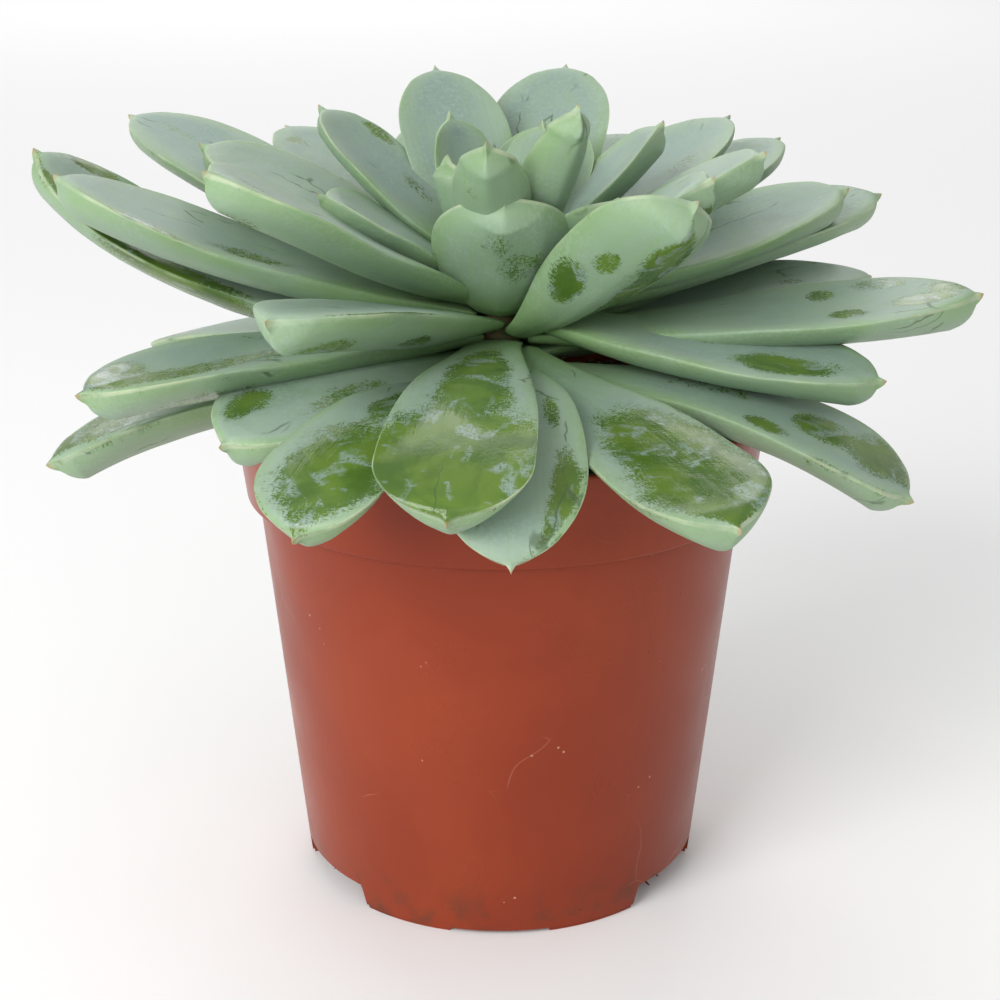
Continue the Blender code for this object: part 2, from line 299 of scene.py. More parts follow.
class Recipe:
    """A material's node tree, with short calls for the nodes that the finishes share."""

    def __init__(self, name: str) -> None:
        """Starts a material that holds one Principled shader."""
        self.material = bpy.data.materials.new(name)
        self.material.use_nodes = True
        self.tree = self.material.node_tree
        self.shader = self.tree.nodes["Principled BSDF"]
        self.place = self.tree.nodes.new("ShaderNodeTexCoord").outputs["Object"]

    def link(self, source: Socket, target: Socket) -> None:
        """Joins two sockets."""
        self.tree.links.new(source, target)

    def feed(self, socket: Socket, value: object) -> None:
        """Sets a socket to a number or colour, or links a socket to it."""
        if isinstance(value, Socket):
            self.link(value, socket)
        elif isinstance(value, tuple):
            socket.default_value = (*value, 1.0)
        else:
            socket.default_value = value

    def attribute(self, name: str, output: str = "Fac") -> Socket:
        """Reads one of the mesh's own values, or its vector from the output Vector."""
        node = self.tree.nodes.new("ShaderNodeAttribute")
        node.attribute_name = name
        return node.outputs[output]

    def cloud(self, vector: Socket, scale: float, detail: float = 2.0) -> bpy.types.Node:
        """Adds cloudy noise on a vector; scale is in waves for each of the vector's units."""
        node = self.tree.nodes.new("ShaderNodeTexNoise")
        self.link(vector, node.inputs["Vector"])
        node.inputs["Scale"].default_value = scale
        node.inputs["Detail"].default_value = detail
        return node

    def scaled(self, vector: Socket, by: tuple[float, float, float], plus: object = None) -> Socket:
        """A vector times three numbers, axis by axis, plus another vector where one is given."""
        node = self.tree.nodes.new("ShaderNodeVectorMath")
        node.operation = "MULTIPLY" if plus is None else "MULTIPLY_ADD"
        self.link(vector, node.inputs[0])
        node.inputs[1].default_value = by
        if plus is not None:
            self.link(plus, node.inputs[2])
        return node.outputs["Vector"]

    def noise_on(self, vector: Socket, scale: tuple[float, float, float], detail: float) -> Socket:
        """Cloudy noise on a vector of the mesh, with its own scale along each axis."""
        return self.cloud(self.scaled(vector, scale), 1.0, detail).outputs["Fac"]

    def blend(self, share: object, first: object, second: object) -> Socket:
        """Blends two numbers."""
        node = self.tree.nodes.new("ShaderNodeMix")
        self.feed(node.inputs[0], share)
        self.feed(node.inputs[2], first)
        self.feed(node.inputs[3], second)
        return node.outputs[0]

    def noise(self, scale: float, detail: float = 2.0, warp: float = 0.0, rough: float = 0.5) -> Socket:
        """Cloudy noise on object coordinates; scale is in waves per metre."""
        node = self.cloud(self.place, scale, detail)
        node.inputs["Roughness"].default_value = rough
        node.inputs["Distortion"].default_value = warp
        return node.outputs["Fac"]

    def cells(self, scale: float, edges: bool = False, vector: object = None) -> Socket:
        """Cells on object coordinates: the distance to the nearest point, or to the nearest wall."""
        node = self.tree.nodes.new("ShaderNodeTexVoronoi")
        node.feature = "DISTANCE_TO_EDGE" if edges else "F1"
        self.link(vector or self.place, node.inputs["Vector"])
        node.inputs["Scale"].default_value = scale
        return node.outputs["Distance"]

    def warped(self, scale: float, reach: float) -> Socket:
        """Object coordinates pushed about by noise, reach metres at most each way."""
        pushes = self.cloud(self.place, scale).outputs["Color"]
        return self.scaled(pushes, (reach, reach, reach), self.place)

    def bent(
        self, vector: Socket, scale: float, reach: float, stretch: tuple[float, float, float]
    ) -> Socket:
        """A vector of the mesh pushed about by noise, reach of its units at most, and then stretched."""
        pushes = self.cloud(vector, scale).outputs["Color"]
        return self.scaled(self.scaled(pushes, (reach, reach, 0.0), vector), stretch)

    def ramp(
        self, value: object, low: float, high: float, out: tuple[float, float] = (0.0, 1.0)
    ) -> Socket:
        """Maps low..high onto the two numbers of out, smoothly, and holds there."""
        node = self.tree.nodes.new("ShaderNodeMapRange")
        node.interpolation_type = "SMOOTHSTEP"
        self.feed(node.inputs["Value"], value)
        node.inputs["From Min"].default_value = low
        node.inputs["From Max"].default_value = high
        node.inputs["To Min"].default_value = out[0]
        node.inputs["To Max"].default_value = out[1]
        return node.outputs["Result"]

    def math(self, operation: str, first: object, second: object = 0.0) -> Socket:
        """One sum on two values."""
        node = self.tree.nodes.new("ShaderNodeMath")
        node.operation = operation
        self.feed(node.inputs[0], first)
        self.feed(node.inputs[1], second)
        return node.outputs[0]

    def times(self, first: object, second: object) -> Socket:
        """The product of two values."""
        return self.math("MULTIPLY", first, second)

    def mix(self, share: object, first: object, second: object) -> Socket:
        """Blends two colours."""
        node = self.tree.nodes.new("ShaderNodeMix")
        node.data_type = "RGBA"
        self.feed(node.inputs[0], share)
        self.feed(node.inputs[6], first)
        self.feed(node.inputs[7], second)
        return node.outputs[2]

    def bump(self, height: object, distance: float, strength: float = 1.0, over: object = None) -> Socket:
        """A bumpy normal; distance is the height's size in metres."""
        node = self.tree.nodes.new("ShaderNodeBump")
        self.feed(node.inputs["Height"], height)
        node.inputs["Distance"].default_value = distance
        node.inputs["Strength"].default_value = strength
        if over is not None:
            self.link(over, node.inputs["Normal"])
        return node.outputs["Normal"]

    def finish(self, colour: object, roughness: object, normal: object) -> bpy.types.Material:
        """Feeds the shader and gives the material back."""
        self.feed(self.shader.inputs["Base Color"], colour)
        self.feed(self.shader.inputs["Roughness"], roughness)
        self.feed(self.shader.inputs["Normal"], normal)
        return self.material


@dataclass(frozen=True)
class LeafSkin:
    """A fleshy leaf's skin: waxy over green, rubbed away in glossy patches, with a pale margin; painted
    shade in the channel and at the base, a painted highlight on the margin near the tip and painted sky
    reflections in the bare patches.
    """

    bloom: Colour = (0.282, 0.382, 0.282)
    # Bluer, darker bloom for the channel: partly the bloom's own tone, partly painted shade in the hollow.
    blue_bloom_and_channel_shade: Colour = (0.222, 0.314, 0.276)
    bloom_warm: Colour = (0.218, 0.350, 0.150)
    under: Colour = (0.240, 0.352, 0.220)
    # Greener, darker colour: painted shade at the leaf base, and the real green under thin bloom.
    base_shade_and_thin_bloom: Colour = (0.165, 0.290, 0.105)
    powder: Colour = (0.370, 0.470, 0.400)
    bare: Colour = (0.110, 0.190, 0.026)
    bare_deep: Colour = (0.060, 0.125, 0.018)
    # Painted reflection: pale blue-grey for the sky reflected in glossy bare skin.
    painted_sky_reflection: Colour = (0.250, 0.335, 0.310)
    # Pale margin colour: partly the leaf's own pale edge, partly a painted highlight near the tip.
    margin: Colour = (0.430, 0.500, 0.330)
    tip: Colour = (0.330, 0.230, 0.120)
    scratch: Colour = (0.060, 0.105, 0.040)
    glow: float = 0.15
    glow_radius: tuple[float, float, float] = (0.5, 1.0, 0.25)
    glow_scale: float = 1.5 * MM
    refraction: float = 1.45

    def make(self) -> bpy.types.Material:
        """Builds the skin.

        Bloom is bluer and darker in the channel, partly its own tone and partly painted shade in the
        hollow, warm beside the margins, and greener and darker at the base as painted shade between the
        crowded leaf bases. The mesh's rub field, broken up by noise and woven where it is partial, uncovers
        the green, and pale blue-grey smudges in it are painted reflections of the sky on the glossy skin.
        Hairline scratches are the walls of long cells on the blade, kept only where a broad noise is high.
        The margin is paler for a fraction of a millimetre, partly its own pale edge and partly a painted
        highlight that grows towards the tip.

        Returns:
            The material.
        """
        r = Recipe("leaf_skin")
        along, edge = r.attribute("along"), r.attribute("edge")
        upper, rub, tone = r.attribute("upper"), r.attribute("rub"), r.attribute("tone")
        blade = r.attribute("blade", "Vector")
        colour = self.bloom_colour(r, along, edge, upper, tone, blade)
        bare = self.bare_share(r, rub, blade)
        line = self.scratches(r, blade)
        green = r.mix(r.ramp(r.noise(140, 3, 0.5), 0.36, 0.66), self.bare, self.bare_deep)
        coarse_weave = self.weave(r, blade, 1.1)
        # Painted reflection: pale blue-grey smudges in the bare patches stand in for the sky reflected on
        # glossy skin.
        painted_reflection_share = r.times(r.ramp(r.noise(190, 4, 0.9), 0.53, 0.64), r.ramp(coarse_weave, 0.40, 0.58))
        green = r.mix(r.times(painted_reflection_share, 0.78), green, self.painted_sky_reflection)
        colour = r.mix(bare, colour, green)
        colour = r.mix(r.times(line, 0.7), colour, self.scratch)
        # Pale margin: partly the leaf's own pale edge, partly a painted highlight of the rounded edge that
        # grows towards the tip.
        ragged = r.ramp(r.noise(130, 3), 0.40, 0.62, (0.25, 1.0))
        broken = r.times(ragged, r.ramp(along, 0.35, 0.85, (0.0, 0.8)))
        colour = r.mix(r.times(r.ramp(edge, 0.26, 0.08), broken), colour, self.margin)
        colour = r.mix(r.ramp(along, 0.984, 0.997, (0.0, 0.8)), colour, self.tip)

        dull = r.ramp(r.noise(1400, 3), 0.3, 0.7, (0.42, 0.56))
        shiny = r.ramp(r.noise(400, 2), 0.3, 0.7, (0.10, 0.24))
        rough = r.blend(bare, dull, shiny)
        swell = r.bump(r.noise(160, 3), 0.00035, 0.45)
        veins = r.bump(r.noise_on(blade, (0.9, 0.03, 1.0), 2.0), 0.00012, 0.35, swell)
        grain = r.bump(r.noise(2600, 2), 0.00005, 0.5, veins)
        sunk = r.times(r.math("ADD", bare, line), -1.0)
        normal = r.bump(sunk, 0.00005, 0.6, grain)
        r.shader.inputs["Subsurface Weight"].default_value = self.glow
        r.shader.inputs["Subsurface Radius"].default_value = self.glow_radius
        r.shader.inputs["Subsurface Scale"].default_value = self.glow_scale
        r.shader.inputs["IOR"].default_value = self.refraction
        return r.finish(colour, rough, normal)

    def bloom_colour(
        self, r: Recipe, along: Socket, edge: Socket, upper: Socket, tone: Socket, blade: Socket
    ) -> Socket:
        """The wax's colour, bluer and darker in the channel, partly its own tone and partly painted shade
        in the hollow, and greener and darker at the base as painted shade between the leaf bases.

        Args:
            r: The material under construction.
            along: Share of the way from base to tip.
            edge: Millimetres from the margin.
            upper: 1 on the upper side and 0 on the lower.
            tone: The leaf's own number from 0 to 1.
            blade: Millimetres across and along the blade.

        Returns:
            The colour.
        """
        cloud = r.noise(85, 4, 0.6)
        side = r.mix(upper, self.under, self.bloom)
        # Bluer, darker bloom away from the margins on the upper side: partly the bloom's own tone, partly
        # painted shade in the channel's hollow.
        channel = r.times(r.ramp(upper, 0.0, 1.0, (0.25, 1.0)), r.ramp(edge, 0.8, 4.5))
        blue = r.times(channel, r.ramp(cloud, 0.33, 0.62, (0.35, 1.0)))
        blue = r.times(blue, r.ramp(tone, 0.0, 1.0, (0.45, 1.0)))
        colour = r.mix(blue, side, self.blue_bloom_and_channel_shade)
        warm = r.times(r.ramp(edge, 2.6, 0.2), r.ramp(r.noise(60, 3), 0.38, 0.62, (0.05, 0.70)))
        colour = r.mix(warm, colour, self.bloom_warm)
        # Painted shade: greener and darker towards the leaf base, where the bases crowd into shaded
        # crevices.
        colour = r.mix(r.ramp(along, 0.46, 0.06, (0.0, 0.85)), colour, self.base_shade_and_thin_bloom)
        streaks = r.noise_on(blade, (1.5, 0.04, 1.0), 3.0)
        colour = r.mix(r.ramp(streaks, 0.48, 0.70, (0.0, 0.30)), colour, self.bloom_warm)
        fine_weave = self.weave(r, blade, 0.7)
        thin = r.times(r.ramp(r.noise(230, 5, 0.8, 0.65), 0.50, 0.66), r.ramp(fine_weave, 0.5, 0.66))
        colour = r.mix(r.times(thin, 0.30), colour, self.base_shade_and_thin_bloom)
        dust = r.times(r.ramp(r.noise(1400, 3), 0.40, 0.72), r.ramp(cloud, 0.35, 0.65, (0.04, 0.34)))
        return r.mix(dust, colour, self.powder)

    @staticmethod
    def weave(r: Recipe, blade: Socket, pitch: float) -> Socket:
        """Crossed flecks: the larger of a noise drawn out along the blade and one drawn out across it."""
        lengthwise = r.noise_on(blade, (3.2 / pitch, 0.9 / pitch, 1.0), 1.0)
        crosswise = r.noise_on(blade, (0.9 / pitch, 3.2 / pitch, 1.0), 1.0)
        return r.math("MAXIMUM", lengthwise, crosswise)

    def bare_share(self, r: Recipe, rub: Socket, blade: Socket) -> Socket:
        """How bare the skin is, from 0, whole bloom, to 1, all rubbed off.

        Args:
            r: The material under construction.
            rub: The mesh's rub field.
            blade: Millimetres across and along the blade.

        Returns:
            The share.
        """
        ragged = r.times(r.math("SUBTRACT", r.noise(165, 5, 0.9, 0.62), 0.5), 1.15)
        patchy = r.math("ADD", rub, ragged)
        gone = r.ramp(patchy, 0.42, 0.62)
        woven = r.ramp(self.weave(r, blade, 1.0), 0.46, 0.64)
        partly = r.times(r.ramp(patchy, 0.20, 0.50), woven)
        left = r.times(r.ramp(self.weave(r, blade, 0.8), 0.54, 0.66), r.ramp(patchy, 0.95, 0.55))
        bare = r.math("SUBTRACT", r.math("MAXIMUM", gone, partly), r.times(left, 0.75))
        return r.math("MAXIMUM", bare, 0.0)

    @staticmethod
    def scratches(r: Recipe, blade: Socket) -> Socket:
        """Hairline scratches in a few places, most lengthwise: walls of cells drawn out along the blade."""
        bend = r.bent(blade, 0.25, 3.0, (0.16, 0.035, 1.0))
        walls = r.cells(1.0, edges=True, vector=bend)
        return r.times(r.ramp(walls, 0.022, 0.006), r.ramp(r.noise(75, 2), 0.59, 0.65))


@dataclass(frozen=True)
class PotPlastic:
    """Moulded terracotta-coloured plastic: satin, faintly mottled, with dust specks and fine scratches."""

    body: Colour = (0.258, 0.040, 0.013)
    shade: Colour = (0.215, 0.031, 0.011)
    speck: Colour = (0.62, 0.36, 0.25)
    # Darker brown used in patches towards the bottom.
    low_patch_colour: Colour = (0.10, 0.035, 0.018)
    refraction: float = 1.49
    gloss: float = 0.22

    def make(self) -> bpy.types.Material:
        """Builds the plastic; its scratches are warped cell walls, kept in a few places.

        Returns:
            The material.
        """
        r = Recipe("pot_plastic")
        mottle = r.noise(28, 4, 0.4)
        colour = r.mix(r.ramp(mottle, 0.3, 0.7), self.body, self.shade)
        specks = r.ramp(r.cells(420), 0.11, 0.07)
        specks = r.times(specks, r.ramp(r.noise(95, 2), 0.62, 0.68))
        walls = r.cells(34, edges=True, vector=r.warped(26, 0.05))
        hair = r.times(r.ramp(walls, 0.006, 0.0015), r.ramp(r.noise(48, 3), 0.57, 0.64))
        marks = r.math("MAXIMUM", specks, r.times(hair, 0.22))
        colour = r.mix(r.times(marks, 0.6), colour, self.speck)
        # Darker brown in patches over the lowest 12 mm of the pot.
        low = r.ramp(r.attribute("height"), 12 * MM, 0.0)
        low_patches = r.times(low, r.ramp(r.noise(240, 4), 0.45, 0.7))
        colour = r.mix(r.times(low_patches, 0.7), colour, self.low_patch_colour)
        rough = r.ramp(r.noise(60, 4, 0.8), 0.3, 0.7, (0.27, 0.36))
        normal = r.bump(r.noise(900, 3), 0.00003, 0.5)
        normal = r.bump(marks, 0.00004, 0.5, normal)
        r.shader.inputs["IOR"].default_value = self.refraction
        r.shader.inputs["Specular IOR Level"].default_value = self.gloss
        return r.finish(colour, rough, normal)


@dataclass(frozen=True)
class PeatEarth:
    """Damp fibrous peat: near black hollows, brown clods and rusty fibre."""

    dark: Colour = (0.018, 0.011, 0.008)
    brown: Colour = (0.085, 0.046, 0.026)
    rust: Colour = (0.175, 0.082, 0.040)

    def make(self, name: str, lift: float = 0.0) -> bpy.types.Material:
        """Builds the earth.

        Args:
            name: The material's name.
            lift: Moves the mix towards the paler browns, for loose crumbs and fibres.

        Returns:
            The material.
        """
        r = Recipe(name)
        clods = r.ramp(r.noise(420, 5, 0.5, 0.65), 0.42 - lift, 0.66 - lift)
        colour = r.mix(clods, self.dark, self.brown)
        flecks = r.ramp(r.noise(1700, 3, 1.5), 0.58 - lift, 0.70 - lift)
        colour = r.mix(r.times(flecks, 0.75), colour, self.rust)
        normal = r.bump(r.noise(900, 5, 0.6, 0.7), 0.0006, 0.9)
        return r.finish(colour, r.ramp(clods, 0.0, 1.0, (0.78, 0.97)), normal)


@dataclass(frozen=True)
class StemBark:
    """A short fleshy stem: olive, with rings of paler leaf scars."""

    flesh: Colour = (0.150, 0.170, 0.060)
    scar: Colour = (0.240, 0.150, 0.075)

    def make(self) -> bpy.types.Material:
        """Builds the bark and gives it back."""
        r = Recipe("stem_bark")
        colour = r.mix(r.ramp(r.noise(380, 4, 0.5), 0.42, 0.62), self.flesh, self.scar)
        rough = r.ramp(r.noise(700, 2), 0.3, 0.7, (0.6, 0.8))
        return r.finish(colour, rough, r.bump(r.noise(500, 4), 0.4 * MM, 0.8))


# --------------------------------------------------------------------------------------------------------
# Rosette
# --------------------------------------------------------------------------------------------------------


@dataclass(frozen=True)
class Habit:
    """How one leaf grew away from the rule.

    It turns, lifts, curls and rolls by degrees, is longer and wider by millimetres, and is widest further
    out by a share of its length.
    """

    turn: float = 0
    lift: float = 0
    curl: float = 0
    roll: float = 0
    longer: float = 0
    wider: float = 0
    outer: float = 0


# By age rank, the same as in the CAD model.
HABITS = {
    0: Habit(longer=-2),
    2: Habit(turn=-45),
    3: Habit(turn=5, lift=-31, longer=-2),
    4: Habit(lift=-6, longer=-8),
    5: Habit(turn=-30, lift=16, longer=-12, wider=-6),
    6: Habit(lift=-10),
    7: Habit(turn=4, lift=-15, longer=5),
    8: Habit(turn=14, lift=8, longer=-1, wider=-8),
    9: Habit(longer=-10),
    10: Habit(lift=-14, roll=-8, longer=-11),
    11: Habit(lift=-11, roll=10, longer=3),
    12: Habit(turn=-6, lift=-1, wider=-1),
    13: Habit(turn=14, lift=15, longer=-13, wider=-9),
    14: Habit(turn=8, lift=-12, longer=3),
    15: Habit(lift=-11, roll=-8, longer=1),
    16: Habit(turn=16, lift=1, roll=20, longer=-10, wider=-5),
    17: Habit(turn=-6),
    18: Habit(roll=-12),
    19: Habit(turn=10, lift=-14, curl=8, roll=10, longer=-2),
    20: Habit(turn=-3, lift=-8),
    21: Habit(lift=30, longer=-34, outer=-0.12),
    22: Habit(turn=-12, lift=-6),
    23: Habit(lift=-9, curl=20, roll=-4, longer=6, wider=1),
    24: Habit(turn=15, lift=-27, curl=7, roll=6, longer=-6),
    25: Habit(longer=-8),
    26: Habit(lift=-2, longer=-9, wider=-2),
    27: Habit(lift=-3, roll=8, longer=-3),
    28: Habit(lift=6, roll=-8, longer=4),
    29: Habit(turn=20, lift=22, curl=6, roll=-28, longer=-25, wider=-3),
    31: Habit(lift=-11, longer=-6),
    32: Habit(turn=8, lift=-8, curl=16, roll=6),
    34: Habit(turn=5, curl=-26, longer=-6, outer=0.13),
    36: Habit(lift=1, curl=48, roll=-10, longer=5),
    37: Habit(turn=-17, lift=-8, curl=9, roll=4, longer=-3, outer=0.06),
    38: Habit(longer=-8),
    39: Habit(turn=-2, lift=-2, roll=-8, longer=-22),
    40: Habit(turn=18, lift=3, longer=-8),
    41: Habit(lift=-12, longer=5),
    42: Habit(turn=-8, lift=11, curl=-46, longer=-10),
    43: Habit(lift=-10),
    44: Habit(lift=-1, curl=-10, longer=-4, wider=-6),
    45: Habit(lift=2, curl=-14, longer=-7),
    46: Habit(longer=-4),
    47: Habit(turn=-1, lift=15, curl=-24, longer=-9, wider=-2, outer=0.05),
}


@dataclass(frozen=True)
class Rub:
    """A place where handling took the bloom off: its middle and half sizes, as shares of the blade."""

    along: float
    across: float
    half_length: float
    half_width: float
    upper: bool = True
    strength: float = 1.0


# The bare patches that show most, by age rank. Every other leaf gets small ones from its own seeded draw.
RUBS = {
    7: (Rub(0.80, -0.80, 0.10, 0.20, strength=0.7), Rub(0.45, -0.35, 0.12, 0.25, strength=0.6)),
    11: (
        Rub(0.82, 0.10, 0.10, 0.30, upper=False, strength=0.75),
        Rub(0.60, 0.6, 0.05, 0.2, upper=False, strength=0.6),
    ),
    12: (Rub(0.86, -0.15, 0.05, 0.45, upper=False, strength=0.75),),
    16: (Rub(0.90, 0.0, 0.08, 0.6, upper=False, strength=0.9),),
    18: (
        Rub(0.88, 0.2, 0.07, 0.30, strength=0.6),
        Rub(0.88, 0.2, 0.07, 0.30, upper=False, strength=0.6),
    ),
    21: (
        Rub(0.58, 0.25, 0.16, 0.36, upper=False, strength=0.55),
        Rub(0.80, -0.15, 0.12, 0.40, upper=False, strength=0.38),
    ),
    23: (Rub(0.55, 0.55, 0.12, 0.30, strength=0.62), Rub(0.80, 0.95, 0.10, 0.15, strength=0.9)),
    24: (Rub(0.76, -0.40, 0.15, 0.42), Rub(0.52, 0.1, 0.05, 0.2, strength=0.5)),
    26: (
        Rub(0.84, 0.30, 0.10, 0.40, upper=False, strength=0.85),
        Rub(0.50, 0.55, 0.08, 0.25, upper=False, strength=0.7),
        Rub(0.70, 0.9, 0.25, 0.12, strength=0.7),
    ),
    29: (
        Rub(0.46, -0.62, 0.12, 0.32, upper=False, strength=0.95),
        Rub(0.66, -0.42, 0.07, 0.22, upper=False, strength=0.75),
        Rub(0.36, 0.50, 0.30, 0.26, upper=False, strength=1.1),
        Rub(0.66, 0.42, 0.26, 0.28, upper=False, strength=1.2),
        Rub(0.84, 0.20, 0.16, 0.36, upper=False, strength=1.2),
    ),
    31: (
        Rub(0.52, 0.45, 0.20, 0.30, strength=0.62),
        Rub(0.80, 0.55, 0.20, 0.35, strength=0.75),
        Rub(0.93, 0.0, 0.09, 0.9),
        Rub(0.70, 0.5, 0.18, 0.3, upper=False, strength=0.7),
    ),
    32: (
        Rub(0.80, 0.62, 0.08, 0.26, strength=0.8),
        Rub(0.90, -0.30, 0.09, 0.35, strength=0.9),
        Rub(0.95, 0.3, 0.05, 0.5, strength=0.8),
        Rub(0.72, -0.55, 0.05, 0.2, strength=0.7),
    ),
    34: (Rub(0.50, 0.05, 0.36, 0.66, strength=0.90), Rub(0.88, 0.0, 0.24, 1.40, strength=1.2)),
    36: (
        Rub(0.72, 0.85, 0.30, 0.22),
        Rub(0.90, -0.7, 0.08, 0.25),
        Rub(0.60, 0.9, 0.2, 0.2, upper=False),
    ),
    37: (Rub(0.70, 0.12, 0.24, 0.85, strength=1.05), Rub(0.88, 0.16, 0.20, 1.05, strength=1.1)),
    39: (Rub(0.85, -0.45, 0.12, 0.35, strength=0.7), Rub(0.60, 0.4, 0.20, 0.3, strength=0.6)),
    41: (Rub(0.35, -0.2, 0.12, 0.5, strength=0.6), Rub(0.90, 0.4, 0.10, 0.6, strength=0.9)),
    42: (
        Rub(0.84, -0.62, 0.09, 0.24),
        Rub(0.84, 0.72, 0.13, 0.22),
        Rub(0.62, 0.05, 0.16, 0.08, strength=0.7),
    ),
    44: (Rub(0.86, 0.0, 0.20, 0.9, strength=0.8), Rub(0.6, 0.3, 0.2, 0.4, strength=0.5)),
    45: (
        Rub(0.76, 0.05, 0.09, 0.46),
        Rub(0.91, 0.20, 0.10, 0.80),
        Rub(0.66, -0.70, 0.06, 0.22, strength=0.9),
        Rub(0.45, 0.2, 0.15, 0.5, strength=0.42),
    ),
    47: (Rub(0.52, 0.10, 0.11, 0.40, strength=0.9), Rub(0.82, 0.15, 0.22, 0.95, strength=0.92)),
}


@dataclass(frozen=True)
class GrowthRule:
    """The growth rule: one golden angle from each leaf to the next older, and sizes that follow age."""

    count: int = 48
    golden_angle: float = 137.508
    first_direction: float = -6.0
    front_lean: float = 7.0
    base_heights: tuple[float, float] = (109.0 * MM, 88.5 * MM)
    base_radii: tuple[float, float] = (2.4 * MM, 6.5 * MM)
    rises: tuple[float, float] = (76.0, 0.0)
    curls: tuple[float, float] = (16.0, -22.0)
    lengths: tuple[float, float] = (18.0 * MM, 74.0 * MM)
    widths: tuple[float, float] = (12.0 * MM, 22.5 * MM)
    thicknesses: tuple[float, float] = (3.2 * MM, 6.4 * MM)
    widest: tuple[float, float] = (0.60, 0.78)
    age_full_length: float = 0.8
    age_full_width: float = 0.4

    @staticmethod
    def between(pair: tuple[float, float], share: float) -> float:
        """The number a share of the way from the first to the second."""
        return pair[0] + (pair[1] - pair[0]) * share

    @staticmethod
    def quarter_wave(share: float) -> float:
        """Rises from 0 to 1 and levels off there."""
        return math.sin(min(1.0, share) * math.pi / 2)

    def sizes(self, rank: int) -> dict[str, float]:
        """What a leaf measures.

        Args:
            rank: The leaf's age rank; 0 is the youngest.

        Returns:
            Its direction, rise, curl and roll in degrees, where it is widest, and its sizes in metres.
        """
        age = rank / (self.count - 1)
        habit = HABITS.get(rank, Habit())
        direction = self.first_direction + self.golden_angle * rank + habit.turn
        spread = math.sqrt(age)
        grown = self.quarter_wave(age / self.age_full_length)
        facing = math.cos(math.radians(direction))
        wide = self.quarter_wave(age / self.age_full_width)
        return {
            "direction": direction,
            "rise": self.between(self.rises, spread) - self.front_lean * facing * spread + habit.lift,
            "curl": self.between(self.curls, age) + habit.curl,
            "roll": habit.roll,
            "widest": self.between(self.widest, age) + habit.outer,
            "length": self.between(self.lengths, grown) + habit.longer * MM,
            "width": self.between(self.widths, wide) + habit.wider * MM,
            "thickness": self.between(self.thicknesses, grown),
            "base_height": self.between(self.base_heights, age),
            "base_radius": self.between(self.base_radii, age),
        }


